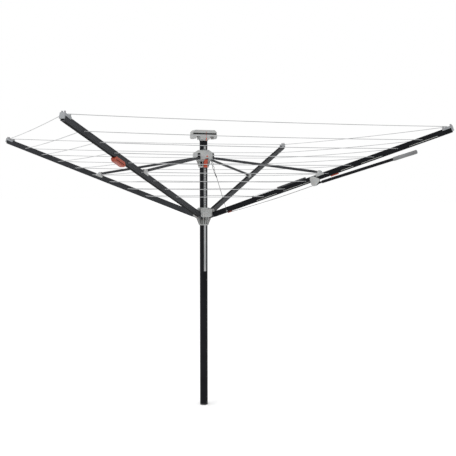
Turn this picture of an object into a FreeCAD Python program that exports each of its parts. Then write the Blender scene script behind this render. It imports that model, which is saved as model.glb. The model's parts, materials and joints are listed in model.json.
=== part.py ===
"""Rotary clothesline: a pole with two sliding hubs, four folding arms and nine rounds of line.

Frame: millimetres, +Z up, origin at the centre of the pole's lower end.
Arm 1 points along +X and carries the pull lever, and arms 2, 3 and 4 follow counter-clockwise.
An arm's own frame has its origin on the arm's pivot, +X along the arm and +Z up out of its top face.
"""
import FreeCAD, Part
import math
import os
import re
import Sketcher

Vector = FreeCAD.Vector
Rotation = FreeCAD.Rotation
X_AXIS = Vector(1, 0, 0)
Y_AXIS = Vector(0, 1, 0)
Z_AXIS = Vector(0, 0, 1)

SIZES = {
    # foot and pole
    "foot_flange": 8.0,
    "foot_depth": 240.0,
    "spigot_radius": 19.0,
    "pole_radius": 25.0,
    "pole_wall": 2.0,
    "spin_gap": 0.05,
    "pole_start": 8.3,
    "pole_top": 1745.0,
    # toothed strip down the pole, on the diagonal between arms 4 and 1
    "strip_wide": 14.0,
    "strip_seat": 24.0,
    "strip_face": 26.0,
    "strip_start": 874.0,
    "strip_end": 1676.0,
    "strip_slot_start": 1186.0,
    "strip_slot_pitch": 15.0,
    "strip_slot_high": 8.0,
    "strip_slot_wide": 6.0,
    # head on top of the pole, long side on the other diagonal
    "head_half": 80.0,
    "head_wide": 70.0,
    "head_base": 1712.0,
    "head_lip": 1724.0,
    "head_recess": 1738.0,
    "head_split": 1751.0,
    "head_cover_base": 1760.0,
    "head_top": 1780.0,
    "head_bevel": 14.0,
    # upper hub
    "hub_bore": 27.6,
    "fin_thick": 3.6,
    "upper_radius": 69.0,
    "upper_base": 1592.0,
    "upper_shoulder": 1632.0,
    "upper_top": 1653.0,
    "upper_skirt": 1541.0,
    "strut_pivot_radius": 60.0,
    "strut_pivot_height": 1602.0,
    "strut_slot": 20.0,
    "strut_axle": 4.0,
    "strut_axle_half": 15.0,
    "release_wide": 23.0,
    # lower hub
    "lower_radius": 66.0,
    "lower_base": 1228.0,
    "lower_shoulder": 1274.0,
    "lower_top": 1284.0,
    "lower_skirt": 1171.0,
    "arm_slot": 22.6,
    "arm_slot_start": 31.5,
    "arm_pivot_radius": 50.0,
    "arm_pivot_height": 1233.5,
    # arms
    "arm_elevation": 18.8,
    "arm_start": 22.0,
    "arm_end": 1583.5,
    "arm_wide": 21.0,
    "arm_high": 33.0,
    "arm_wall": 1.7,
    "groove_deep": 0.6,
    "groove_high": 2.4,
    "bracket_along": 773.0,
    "bracket_above": 25.0,
    "bracket_half": 27.0,
    "bracket_wide": 26.0,
    "bracket_pin": 4.0,
    "pin_gap": 0.05,
    # struts
    "strut_radius": 8.0,
    "strut_wall": 1.5,
    "strut_eye_wide": 10.0,
    "strut_tube_inset": 30.0,
    # line
    "line_radius": 1.75,
    "line_hole": 2.6,
    "line_outer": 1523.0,
    "line_step": 138.4,
    "line_crossing": 15.0,
    "line_over_cap": 24.5,
    # orange tensioner under arm 4
    "tensioner_start": 996.0,
    "tensioner_end": 1110.0,
    "tensioner_deep": 22.0,
    "tensioner_wide": 26.0,
    # lever and its rope, in the frame of arm 1
    "lever_along": 741.5,
    "lever_below": 36.0,
    "lever_side": 18.0,
    "lever_reach": 624.0,
    "lever_slope": 1.8,
    "lever_radius": 9.0,
    "grip_radius": 12.0,
    "grip_long": 143.0,
    "rope_radius": 1.5,
    "rope_guide_along": 122.0,
    "rope_guide_below": 7.5,
    "rope_side": 15.0,
    "housing_thick": 15.0,
    "spring_radius": 4.0,
    "spring_wire": 0.9,
    "spring_start": 322.0,
    "spring_end": 487.0,
    "spring_pitch": 7.5,
    "cover_end": 678.0,
    # worked out below from the pivots
    "strut_length": 0.0,
}
ROUNDS = 9
ARMS = 4
STRIP_SLOTS = 32
QUARTER = 90.0
STRIP_BEARING = -45.0
HEAD_BEARING = 45.0

doc = FreeCAD.newDocument("RotaryClothesline")
sheet = doc.addObject("Spreadsheet::Sheet", "Sizes")
for row, (alias, number) in enumerate(SIZES.items(), start=1):
    sheet.set(f"A{row}", alias)
    sheet.set(f"B{row}", str(number))
    sheet.setAlias(f"B{row}", alias)
doc.recompute()

ALIAS = re.compile(r"\b(" + "|".join(SIZES) + r")\b")
finished = []


def size(alias):
    """A driving dimension, read from the sheet."""
    return float(sheet.get(alias))


def tie(item, prop, formula):
    """Bind one property of an object to a formula over the sheet's cells."""
    item.setExpression(prop, ALIAS.sub(r"Sizes.\1", str(formula)))


def place(item, corner, rotation=None):
    """Put an object at a corner given by three formulas, turned by a rotation."""
    if rotation is not None:
        item.Placement = FreeCAD.Placement(Vector(0, 0, 0), rotation)
    for axis, formula in zip("xyz", corner):
        if formula != "0":
            tie(item, f".Placement.Base.{axis}", formula)


def block(name, dimensions, corner, rotation=None):
    """A box with its length, width and height along X, Y and Z from its lowest corner."""
    item = doc.addObject("Part::Box", name)
    for prop, formula in zip(("Length", "Width", "Height"), dimensions):
        tie(item, prop, formula)
    place(item, corner, rotation)
    return item


LIE = {
    "x": Rotation(Y_AXIS, 90),
    "y": Rotation(X_AXIS, -90),
    "z": Rotation(),
}


def rod(name, radius, length, start, along="z"):
    """A cylinder from a start point along one axis."""
    item = doc.addObject("Part::Cylinder", name)
    tie(item, "Radius", radius)
    tie(item, "Height", length)
    place(item, start, LIE[along])
    return item


def cone(name, low_radius, high_radius, height, start, along="z"):
    """A cone or tapered peg from a start point along one axis."""
    item = doc.addObject("Part::Cone", name)
    tie(item, "Radius1", low_radius)
    tie(item, "Radius2", high_radius)
    tie(item, "Height", height)
    place(item, start, LIE[along])
    return item


def group(name, items):
    """Several separate solids kept as one object."""
    item = doc.addObject("Part::Compound", name)
    item.Links = items
    return item


def join(name, items):
    """Several shapes fused into one solid."""
    item = doc.addObject("Part::MultiFuse", name)
    item.Shapes = items
    item.Refine = True
    return item


def cut(name, base, tools):
    """A shape with one or more tools taken out of it."""
    item = doc.addObject("Part::Cut", name)
    item.Base = base
    item.Tool = tools[0] if len(tools) == 1 else join(f"{name}_cutters", tools)
    return item


def finish(item, label, placement=None):
    """Name an object as a finished sub-part and put it where it belongs."""
    item.Label = label
    if placement is not None:
        item.Placement = placement
    finished.append(item)
    return item


def design(name):
    """An empty PartDesign body."""
    return doc.addObject("PartDesign::Body", name)


def draw(body, role, name, points):
    """A closed outline on one of the body's origin planes, every corner bound to formulas."""
    sketch = body.newObject("Sketcher::SketchObject", name)
    plane = next(item for item in body.Origin.OriginFeatures if item.Role == role)
    sketch.AttachmentSupport = (plane, "")
    sketch.MapMode = "FlatFace"
    cells = {alias: size(alias) for alias in SIZES}
    rough = [(rough_value(x, cells), rough_value(y, cells)) for x, y in points]
    count = len(points)
    for index in range(count):
        start = Vector(*rough[index], 0)
        end = Vector(*rough[(index + 1) % count], 0)
        sketch.addGeometry(Part.LineSegment(start, end))
    for index in range(count):
        sketch.addConstraint(Sketcher.Constraint("Coincident", index, 2, (index + 1) % count, 1))
    for index, (x, y) in enumerate(points):
        bind_corner(sketch, index, "DistanceX", -2, x, rough[index][0])
        bind_corner(sketch, index, "DistanceY", -1, y, rough[index][1])
    return sketch


def bind_corner(sketch, index, kind, axis, formula, value):
    """Hold the start of one edge on an axis, or at a bound distance from it."""
    if formula == "0":
        sketch.addConstraint(Sketcher.Constraint("PointOnObject", index, 1, axis))
        return
    number = sketch.addConstraint(Sketcher.Constraint(kind, -1, 1, index, 1, value))
    tie(sketch, f"Constraints[{number}]", formula)


def rough_value(formula, cells):
    """The number that a sum of cells and plain numbers comes to, for drawing an outline."""
    total = 0.0
    for sign, term in re.findall(r"([+-]?)\s*([^\s+-]+)", formula):
        value = 1.0
        for factor in term.split("*"):
            value *= cells[factor] if factor in cells else float(factor)
        total += -value if sign == "-" else value
    return total


def pad(body, name, sketch, length, midplane=False):
    """Raise an outline by a bound length, from its plane or to both sides of it."""
    item = body.newObject("PartDesign::Pad", name)
    item.Profile = sketch
    item.Midplane = midplane
    tie(item, "Length", length)
    return item


def revolve(body, name, sketch):
    """Turn an outline drawn on the XZ plane round the Z axis."""
    item = body.newObject("PartDesign::Revolution", name)
    item.Profile = sketch
    item.ReferenceAxis = (sketch, ["V_Axis"])
    item.Angle = 360.0
    return item


def turned(bearing, distance=0.0, height=0.0):
    """A placement turned about Z to a bearing and moved out along it."""
    rotation = Rotation(Z_AXIS, bearing)
    base = rotation.multVec(Vector(distance, 0, height))
    return FreeCAD.Placement(base, rotation)


def arm_placement(number):
    """Where the frame of an arm stands: on its pivot, raised by the arm's elevation."""
    lift = FreeCAD.Placement(Vector(0, 0, 0), Rotation(Y_AXIS, -size("arm_elevation")))
    bearing = QUARTER * (number - 1)
    return turned(bearing, size("arm_pivot_radius"), size("arm_pivot_height")).multiply(lift)


def bracket_point():
    """The strut's pivot on its arm, as radius and height in the arm's upright plane."""
    lift = math.radians(size("arm_elevation"))
    along = size("bracket_along")
    above = size("bracket_above")
    radius = size("arm_pivot_radius") + along * math.cos(lift) - above * math.sin(lift)
    height = size("arm_pivot_height") + along * math.sin(lift) + above * math.cos(lift)
    return radius, height


def strut_placement(number):
    """Where the frame of a strut stands: on its arm's bracket, +X towards the upper hub."""
    radius, height = bracket_point()
    inward = radius - size("strut_pivot_radius")
    upward = size("strut_pivot_height") - height
    slope = math.degrees(math.atan2(upward, inward))
    tilt = FreeCAD.Placement(Vector(0, 0, 0), Rotation(Y_AXIS, slope - 180.0))
    return turned(QUARTER * (number - 1), radius, height).multiply(tilt)


def set_strut_length():
    """Keep the distance between a strut's two pivots in the sheet with the other sizes."""
    radius, height = bracket_point()
    inward = radius - size("strut_pivot_radius")
    long = math.hypot(inward, size("strut_pivot_height") - height)
    sheet.set(f"B{row}", f"{long:.4f}")
    doc.recompute()


set_strut_length()


# ---------------------------------------------------------------- foot and pole


def foot_bush():
    """The plug in the pole's foot that stands still on the ground spigot while the pole turns."""
    sleeve = rod("foot_sleeve", "pole_radius - pole_wall - spin_gap", "foot_depth", ("0", "0", "0"))
    flange = rod("foot_flange_disc", "pole_radius", "foot_flange", ("0", "0", "0"))
    bore = rod("foot_bore", "spigot_radius", "foot_depth - 10", ("0", "0", "0"))
    finish(cut("foot_plug", join("foot_solid", [sleeve, flange]), [bore]), "foot_bush")


def pole_tube():
    """A round tube with a shallow flat for the strip."""
    high = "pole_top - pole_start"
    wall = rod("pole_outside", "pole_radius", high, ("0", "0", "pole_start"))
    inside = rod("pole_inside", "pole_radius - pole_wall", high, ("0", "0", "pole_start"))
    flat = block(
        "pole_flat",
        ("pole_radius", "2 * pole_radius", "pole_top - strip_start"),
        ("strip_seat", "-pole_radius", "strip_start"),
    )
    finish(cut("pole", wall, [inside, flat]), "pole_tube", turned(STRIP_BEARING))


def rack_strip():
    """The strip the latch bites into, with a slot at every step of height."""
    deep = "strip_face - strip_seat"
    bar = block(
        "strip_bar",
        (deep, "strip_wide", "strip_end - strip_start"),
        ("strip_seat", "-strip_wide / 2", "strip_start"),
    )
    slots = []
    for step in range(STRIP_SLOTS):
        bottom = f"strip_slot_start + {step} * strip_slot_pitch"
        slots.append(
            block(
                f"strip_slot_{step}",
                (deep, "strip_slot_wide", "strip_slot_high"),
                ("strip_seat", "-strip_slot_wide / 2", bottom),
            )
        )
    bar_with_slots = doc.addObject("Part::Cut", "strip")
    bar_with_slots.Base = bar
    bar_with_slots.Tool = group("strip_slots", slots)
    finish(bar_with_slots, "rack_strip", turned(STRIP_BEARING))


def head_body():
    """The lower half of the head: a wing with hanging end lips and a boss that takes the pole."""
    body = design("head_wing")
    half = [
        ("30", "head_base + 8"),
        ("34", "head_recess"),
        ("head_half - 22", "head_recess"),
        ("head_half - 18", "head_lip"),
        ("head_half - 6", "head_lip"),
        ("head_half", "head_lip + 8"),
        ("head_half", "head_split"),
    ]
    mirrored = [("-" + x.replace("-", "+") if "-" in x else "-" + x, z) for x, z in reversed(half)]
    outline = draw(body, "XZ_Plane", "head_outline", half + mirrored)
    pad(body, "head_wing_pad", outline, "head_wide", midplane=True)
    collar = rod("head_collar", "pole_radius + 4", "head_recess - head_base", ("0", "0", "head_base"))
    bore = rod("head_bore", "pole_radius", "pole_top - head_base", ("0", "0", "head_base"))
    solid = join("head_solid", [body, collar])
    finish(cut("head", solid, [bore]), "head_body", turned(HEAD_BEARING))


def head_cover():
    """The bevelled lid of the head, on a neck that is set back along both long sides."""
    body = design("head_lid")
    outline = draw(
        body,
        "XZ_Plane",
        "lid_outline",
        [
            ("head_half", "head_cover_base"),
            ("head_half", "head_top - head_bevel"),
            ("head_half - head_bevel", "head_top"),
            ("-head_half + head_bevel", "head_top"),
            ("-head_half", "head_top - head_bevel"),
            ("-head_half", "head_cover_base"),
        ],
    )
    pad(body, "lid_pad", outline, "head_wide", midplane=True)
    neck = block(
        "head_neck",
        ("2 * head_half", "head_wide - 16", "head_cover_base - head_split"),
        ("-head_half", "8 - head_wide / 2", "head_split"),
    )
    finish(join("head_lid_solid", [body, neck]), "head_cover", turned(HEAD_BEARING))


def head_screws():
    """Two screws with domed heads that hold the lid down."""
    screws = []
    for side in ("-44", "44"):
        screws.append(rod(f"head_screw{side}", "4", "2", (side, "0", "head_top")))
    finish(group("screws_of_head", screws), "head_screws", turned(HEAD_BEARING))


def head_marks():
    """Small raised marks in a column on the head's face, two on the body and one on the lid."""
    marks = []
    for low in ("head_base + 13", "head_base + 31", "head_cover_base + 1"):
        corner = ("4", "-head_wide / 2 - 1", low)
        marks.append(block(f"head_mark_{len(marks)}", ("5", "1", "5"), corner))
    finish(group("marks_of_head", marks), "head_marks", turned(HEAD_BEARING))


# ---------------------------------------------------------------- upper hub


def strip_clearance(name, start, end):
    """A keyway that lets the strip pass through a hub."""
    return block(
        name,
        ("strip_face + 3", "strip_wide + 1.6", f"{end} - {start} + 2"),
        ("0", "-strip_wide / 2 - 0.8", f"{start} - 1"),
    )


def bearing_copies(make, bearings):
    """One tool at each of several bearings round the pole."""
    tools = []
    for number, bearing in enumerate(bearings):
        tool = make(number)
        wrapped = doc.addObject("Part::Compound", f"{tool.Name}_turned")
        wrapped.Links = [tool]
        wrapped.Placement = turned(bearing)
        tools.append(wrapped)
    return tools


ARM_BEARINGS = [QUARTER * number for number in range(ARMS)]


def fins(name, points, spread):
    """Upright fins under a hub: one on each diagonal and one at a spread to either side."""
    body = design(name)
    pad(body, f"{name}_pad", draw(body, "XZ_Plane", f"{name}_outline", points), "fin_thick", midplane=True)
    bearings = []
    for bearing in ARM_BEARINGS:
        bearings += [bearing + QUARTER / 2 + turn for turn in (-spread, 0, spread)]
    return bearing_copies(lambda number: body, bearings)


def upper_hub_body():
    """A round body with a tapered, finned skirt and a slot for each strut, open below."""
    body = design("upper_core")
    outline = draw(
        body,
        "XZ_Plane",
        "upper_outline",
        [
            ("hub_bore", "upper_skirt"),
            ("hub_bore + 5", "upper_skirt"),
            ("hub_bore + 5", "upper_skirt + 11"),
            ("hub_bore + 2.6", "upper_skirt + 11"),
            ("hub_bore + 2.6", "upper_base - 13"),
            ("hub_bore + 20", "upper_base - 8"),
            ("hub_bore + 20", "upper_base"),
            ("upper_radius - 3", "upper_base"),
            ("upper_radius", "upper_base + 4"),
            ("upper_radius", "upper_shoulder"),
            ("hub_bore", "upper_shoulder"),
        ],
    )
    revolve(body, "upper_turning", outline)

    def strut_slot(number):
        return block(
            f"strut_slot_{number}",
            ("upper_radius", "strut_slot", "upper_shoulder - upper_skirt"),
            ("strut_pivot_radius - 10", "-strut_slot / 2", "upper_skirt"),
        )

    release_bay = block(
        "release_bay",
        ("upper_radius", "release_wide + 1.4", "upper_base + 7 - upper_skirt"),
        ("hub_bore + 2", "-release_wide / 2 - 0.7", "upper_skirt - 1"),
    )
    bay = bearing_copies(lambda number: release_bay, [STRIP_BEARING])
    fin = [
        ("hub_bore + 1", "upper_skirt + 4"),
        ("hub_bore + 5", "upper_skirt + 4"),
        ("hub_bore + 19", "upper_base - 4"),
        ("hub_bore + 1", "upper_base - 4"),
    ]
    solid = join("upper_solid", [body] + fins("upper_fin", fin, 27))
    tools = bearing_copies(strut_slot, ARM_BEARINGS) + bay + strut_axles("axle_bore")
    finish(cut("upper_hub", solid, tools), "upper_hub_body")


def upper_hub_cap():
    """The sloping shoulder on top of the upper hub."""
    high = "upper_top - upper_shoulder"
    hood = cone("upper_hood", "upper_radius", "36", high, ("0", "0", "upper_shoulder"))
    bore = rod("upper_hood_bore", "hub_bore", high, ("0", "0", "upper_shoulder"))
    finish(cut("upper_cap", hood, [bore]), "upper_hub_cap")


def liner(label, start, end):
    """A slippery sleeve between a hub and the pole, with a keyway for the strip."""
    high = f"{end} - {start}"
    sleeve = rod(f"{label}_sleeve", "hub_bore", high, ("0", "0", start))
    bore = rod(f"{label}_bore", "pole_radius + 0.4", high, ("0", "0", start))
    key = strip_clearance(f"{label}_key", start, end)
    finish(cut(label, sleeve, [bore, key]), label, turned(STRIP_BEARING))


def strut_axles(name):
    """A cross-pin's cylinder at each strut's pivot."""

    def axle(number):
        start = ("strut_pivot_radius", "-strut_axle_half", "strut_pivot_height")
        return rod(f"{name}_{number}", "strut_axle", "2 * strut_axle_half", start, "y")

    return bearing_copies(axle, ARM_BEARINGS)


def strut_pivots():
    """The four cross-pins in the upper hub that the struts swing on."""
    finish(group("strut_axle_pins", strut_axles("axle_solid")), "strut_pivots")


def upper_hub_mark():
    """A small raised drop on the hub above the release lever."""
    drop = cone("mark_drop", "3.2", "0.8", "9", ("upper_radius", "0", "upper_base + 15"))
    inside = rod("mark_inside", "upper_radius", "11", ("0", "0", "upper_base + 14"))
    finish(cut("mark_shell", drop, [inside]), "upper_hub_mark", turned(STRIP_BEARING))


def release_lever():
    """The squeeze lever that lifts the latch out of the strip."""
    body = design("release_tongue")
    outline = draw(
        body,
        "XZ_Plane",
        "release_outline",
        [
            ("hub_bore + 4", "upper_skirt"),
            ("hub_bore + 15", "upper_skirt"),
            ("hub_bore + 14", "upper_skirt + 9"),
            ("hub_bore + 9", "upper_skirt + 14"),
            ("hub_bore + 12", "upper_skirt + 30"),
            ("hub_bore + 23", "upper_base"),
            ("hub_bore + 21", "upper_base + 2"),
            ("hub_bore + 8", "upper_base + 2"),
            ("hub_bore + 4", "upper_base - 12"),
        ],
    )
    pad(body, "release_pad", outline, "release_wide", midplane=True)
    eye = rod(
        "release_eye",
        "2.05",
        "release_wide + 2",
        ("hub_bore + 13", "-release_wide / 2 - 1", "upper_base - 4"),
        "y",
    )
    finish(cut("release", body, [eye]), "release_lever", turned(STRIP_BEARING))


def release_pin():
    """The pin that the release lever swings on."""
    long = "release_wide + 1.4"
    start = ("hub_bore + 13", "-release_wide / 2 - 0.7", "upper_base - 4")
    pin = rod("release_axle", "2", long, start, "y")
    finish(group("release_axle_group", [pin]), "release_pin", turned(STRIP_BEARING))


# ---------------------------------------------------------------- lower hub


def arm_slots(name, start, high):
    """The four slots that the arms fold up through."""

    def arm_slot(number):
        return block(
            f"{name}_{number}",
            ("lower_radius", "arm_slot", high),
            ("arm_slot_start", "-arm_slot / 2", start),
        )

    return bearing_copies(arm_slot, ARM_BEARINGS)


def lower_hub_body():
    """A block with a slot for each arm and a tapered, finned skirt below."""
    body = design("lower_core")
    outline = draw(
        body,
        "XZ_Plane",
        "lower_outline",
        [
            ("hub_bore", "lower_skirt"),
            ("hub_bore + 3.5", "lower_skirt"),
            ("hub_bore + 4", "lower_skirt + 6"),
            ("hub_bore + 3", "lower_skirt + 6"),
            ("hub_bore + 3", "lower_base - 7"),
            ("lower_radius - 14", "lower_base - 4"),
            ("lower_radius", "lower_base + 2"),
            ("lower_radius", "lower_shoulder"),
            ("hub_bore", "lower_shoulder"),
        ],
    )
    revolve(body, "lower_turning", outline)

    fin = [
        ("hub_bore + 1", "lower_skirt + 3"),
        ("hub_bore + 3.5", "lower_skirt + 3"),
        ("hub_bore + 23", "lower_base - 5"),
        ("hub_bore + 23", "lower_base"),
        ("hub_bore + 1", "lower_base"),
    ]
    slots = arm_slots("arm_slot", "lower_base - 33", "lower_shoulder - lower_base + 35")
    solid = join("lower_solid", [body] + fins("lower_fin", fin, 20))
    finish(cut("lower_hub", solid, slots), "lower_hub_body")


def lower_hub_plate():
    """The round plate on top of the lower hub, notched for the folded arms."""
    high = "lower_top - lower_shoulder"
    disc = cone("lower_disc", "42", "38", high, ("0", "0", "lower_shoulder"))
    bore = rod("lower_disc_bore", "hub_bore", high, ("0", "0", "lower_shoulder"))
    notches = arm_slots("plate_notch", "lower_shoulder", high)
    finish(cut("lower_plate", disc, [bore] + notches), "lower_hub_plate")


# ---------------------------------------------------------------- arms


def round_distance(number):
    """Formula for how far along an arm a round of line crosses it."""
    return f"(line_outer - {number} * line_step - arm_pivot_radius) / cos(arm_elevation * 1 deg)"


def arm_tube(number):
    """A grooved box tube, drilled through its sides for every round of line but the outermost."""
    long = "arm_end - arm_start"
    outside = block(
        f"arm_outside_{number}",
        (long, "arm_wide", "arm_high"),
        ("arm_start", "-arm_wide / 2", "-arm_high / 2"),
    )
    inside = block(
        f"arm_inside_{number}",
        (long, "arm_wide - 2 * arm_wall", "arm_high - 2 * arm_wall"),
        ("arm_start", "arm_wall - arm_wide / 2", "arm_wall - arm_high / 2"),
    )
    tools = [inside]
    for level in ("-10.5", "-4.5", "4.5", "10.5"):
        for side, edge in (("left", "arm_wide / 2 - groove_deep"), ("right", "-arm_wide / 2")):
            tools.append(
                block(
                    f"groove_{side}_{number}_{len(tools)}",
                    (long, "groove_deep", "groove_high"),
                    ("arm_start", edge, f"{level} - groove_high / 2"),
                )
            )
    for turn in range(1, ROUNDS):
        start = (round_distance(turn), "-arm_wide", "0")
        tools.append(rod(f"line_hole_{number}_{turn}", "line_hole", "2 * arm_wide", start, "y"))
    finish(cut(f"arm_{number}", outside, tools), f"arm_tube_{number}", arm_placement(number))


def arm_foot(number):
    """The rounded foot that plugs into an arm's inner end and turns in the lower hub's slot."""
    eye = rod(f"foot_eye_{number}", "16", "20.4", ("0", "-10.2", "0"), "y")
    neck = block(f"foot_neck_{number}", ("arm_start", "20.4", "30"), ("0", "-10.2", "-15"))
    plug = block(
        f"foot_plug_{number}",
        ("50", "arm_wide - 2 * arm_wall - 0.4", "arm_high - 2 * arm_wall - 0.4"),
        ("arm_start", "arm_wall + 0.2 - arm_wide / 2", "arm_wall + 0.2 - arm_high / 2"),
    )
    solid = join(f"foot_solid_{number}", [eye, neck, plug])
    finish(solid, f"arm_foot_{number}", arm_placement(number))


def arm_section(name, start, long):
    """The room that an arm's tube takes up inside a fitting."""
    corner = (start, "-arm_wide / 2", "-arm_high / 2")
    return block(name, (long, "arm_wide", "arm_high"), corner)


def tip_cap(number):
    """A saddle over the arm's outer end with an upright horn at each corner."""
    top = block(
        f"cap_top_{number}",
        ("54", "arm_wide + 7", "13"),
        ("arm_end - 50", "-arm_wide / 2 - 3.5", "8"),
    )
    end = block(
        f"cap_end_{number}",
        ("9", "arm_wide + 7", "arm_high / 2 + 14"),
        ("arm_end", "-arm_wide / 2 - 3.5", "7 - arm_high / 2"),
    )
    horns = []
    for along in ("arm_end - 43", "arm_end + 1"):
        for side in ("-8", "8"):
            name = f"horn_{number}_{len(horns)}"
            horns.append(cone(name, "5.6", "4.2", "10", (along, side, "20.5")))
    solid = join(f"cap_solid_{number}", [top, end] + horns)
    room = arm_section(f"cap_room_{number}", "arm_end - 60", "60")
    finish(cut(f"cap_{number}", solid, [room]), f"tip_cap_{number}", arm_placement(number))


def strut_bracket(number):
    """A saddle clipped over the arm, with two cheeks that hold the strut's pin."""
    saddle = block(
        f"saddle_{number}",
        ("2 * bracket_half", "bracket_wide", "14.5"),
        ("bracket_along - bracket_half", "-bracket_wide / 2", "4"),
    )
    riser = block(
        f"riser_{number}",
        ("24", "bracket_wide", "bracket_above - 10"),
        ("bracket_along - 12", "-bracket_wide / 2", "10"),
    )
    start = ("bracket_along", "-bracket_wide / 2", "bracket_above")
    cheeks = rod(f"cheeks_{number}", "12", "bracket_wide", start, "y")
    room = arm_section(f"bracket_room_{number}", "bracket_along - 40", "80")
    slot = block(
        f"bracket_slot_{number}",
        ("80", "strut_eye_wide + 1", "40"),
        ("bracket_along - 40", "-strut_eye_wide / 2 - 0.5", "arm_high / 2 + 2"),
    )
    window = block(
        f"bracket_window_{number}",
        ("20", "strut_eye_wide + 1", "4"),
        ("bracket_along - 10", "-strut_eye_wide / 2 - 0.5", "arm_high / 2 - 1"),
    )
    bore = rod(f"bracket_bore_{number}", "bracket_pin", "bracket_wide", start, "y")
    solid = join(f"bracket_solid_{number}", [saddle, riser, cheeks])
    bracket = cut(f"bracket_{number}", solid, [room, slot, window, bore])
    finish(bracket, f"strut_bracket_{number}", arm_placement(number))


def strut_pin(number):
    """The rivet through a bracket's cheeks and the strut's eye."""
    start = ("bracket_along", "-bracket_wide / 2 - 1", "bracket_above")
    pin = rod(f"bracket_rivet_{number}", "bracket_pin", "bracket_wide + 2", start, "y")
    finish(group(f"bracket_rivets_{number}", [pin]), f"strut_pin_{number}", arm_placement(number))


# ---------------------------------------------------------------- struts


def strut_tube(number):
    """A round tube between a strut's two end fittings."""
    long = "strut_length - 2 * strut_tube_inset"
    start = ("strut_tube_inset", "0", "0")
    outside = rod(f"strut_outside_{number}", "strut_radius", long, start, "x")
    inside = rod(f"strut_inside_{number}", "strut_radius - strut_wall", long, start, "x")
    finish(cut(f"strut_{number}", outside, [inside]), f"strut_tube_{number}", strut_placement(number))


def strut_ends(number):
    """The drilled eye at a strut's bracket and the drilled tongue in the upper hub."""
    plug_radius = "strut_radius - strut_wall - 0.1"
    eye = rod(f"eye_{number}", "8", "strut_eye_wide", ("0", "-strut_eye_wide / 2", "0"), "y")
    eye_neck = block(
        f"eye_neck_{number}",
        ("strut_tube_inset", "strut_eye_wide", "14"),
        ("0", "-strut_eye_wide / 2", "-7"),
    )
    eye_plug = rod(f"eye_plug_{number}", plug_radius, "20", ("strut_tube_inset", "0", "0"), "x")
    bore = rod(f"eye_bore_{number}", "bracket_pin + pin_gap", "20", ("0", "-10", "0"), "y")
    eye_end = cut(f"eye_end_{number}", join(f"eye_solid_{number}", [eye, eye_neck, eye_plug]), [bore])

    tongue = rod(f"tongue_{number}", "8", "14", ("strut_length", "-7", "0"), "y")
    neck_start = "strut_length - strut_tube_inset"
    tongue_neck = block(
        f"tongue_neck_{number}",
        ("strut_tube_inset", "14", "14"),
        (neck_start, "-7", "-7"),
    )
    tongue_plug = rod(f"tongue_plug_{number}", plug_radius, "20", (f"{neck_start} - 20", "0", "0"), "x")
    axle_bore = rod(
        f"tongue_bore_{number}",
        "strut_axle + pin_gap",
        "20",
        ("strut_length", "-10", "0"),
        "y",
    )
    tongue_solid = join(f"tongue_solid_{number}", [tongue, tongue_neck, tongue_plug])
    tongue_end = cut(f"tongue_end_{number}", tongue_solid, [axle_bore])
    ends = group(f"ends_{number}", [eye_end, tongue_end])
    finish(ends, f"strut_ends_{number}", strut_placement(number))


# ---------------------------------------------------------------- lines and ropes


def cord(name, points, radius, closed=False):
    """A round cord swept along straight runs between points, with mitred corners."""
    path = doc.addObject("Part::Polygon", f"{name}_path")
    path.Nodes = points
    path.Close = closed
    circle = doc.addObject("Part::Circle", f"{name}_section")
    tie(circle, "Radius", radius)
    first_run = points[1] - points[0]
    circle.Placement = FreeCAD.Placement(points[0], Rotation(Z_AXIS, first_run))
    sweep = doc.addObject("Part::Sweep", name)
    sweep.Sections = [circle]
    runs = len(points) if closed else len(points) - 1
    sweep.Spine = (path, [f"Edge{number + 1}" for number in range(runs)])
    sweep.Solid = True
    sweep.Frenet = False
    sweep.Transition = "Right corner"
    return sweep


def clothes_line():
    """Nine level rounds of line: the outermost lies over the tip caps, the others pass through the arms."""
    rounds = []
    rise = math.tan(math.radians(size("arm_elevation")))
    half = size("line_crossing")
    for turn in range(ROUNDS):
        radius = size("line_outer") - turn * size("line_step")
        height = size("arm_pivot_height") + (radius - size("arm_pivot_radius")) * rise
        if turn == 0:
            height += size("line_over_cap")
        corners = []
        for bearing in ARM_BEARINGS:
            rotation = Rotation(Z_AXIS, bearing)
            corners.append(rotation.multVec(Vector(radius, -half, height)))
            corners.append(rotation.multVec(Vector(radius, half, height)))
        middle = (corners[-1] + corners[0]) / 2
        rounds.append(cord(f"round_{turn + 1}", [middle] + corners, "line_radius", closed=True))
    finish(group("line_rounds", rounds), "clothes_line")


ROPE_HOOK = Vector(62, -16, 1591.5)
FERRULE_TOP = Vector(86, -15.5, 1506)
FERRULE_END = Vector(99, -15, 1478)
STRANDS_APART = Vector(1, 1, 0)


def pull_rope_drop():
    """The hanging stretch of pull rope: a doubled loop, a ferrule and a single cord to arm 1."""
    guide = Vector(size("rope_guide_along"), -size("rope_side"), 2 - size("rope_guide_below"))
    entry = arm_placement(1).multVec(guide)
    spread = STRANDS_APART * 2.4
    pinch = STRANDS_APART * 1.2
    strands = [
        cord("strand_a", [ROPE_HOOK - spread, FERRULE_TOP - pinch], "rope_radius"),
        cord("strand_b", [ROPE_HOOK + spread, FERRULE_TOP + pinch], "rope_radius"),
        cord("ferrule", [FERRULE_TOP, FERRULE_END], "rope_radius + 2"),
        cord("single_cord", [FERRULE_END, entry], "rope_radius"),
    ]
    finish(group("rope_drop", strands), "pull_rope_drop")


def pull_rope_run():
    """The stretch of pull rope from the eyelet down round arm 1's edge and along to the lever."""
    along = size("rope_guide_along")
    side = -size("rope_side")
    points = [
        Vector(along + 1, side, -size("rope_guide_below") - 2),
        Vector(along + 5, side, -size("arm_high") / 2 - 5),
        Vector(size("lever_along") - 29.5, side, -size("lever_below") - 4),
    ]
    finish(cord("rope_run", points, "rope_radius"), "pull_rope_run", arm_placement(1))


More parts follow.
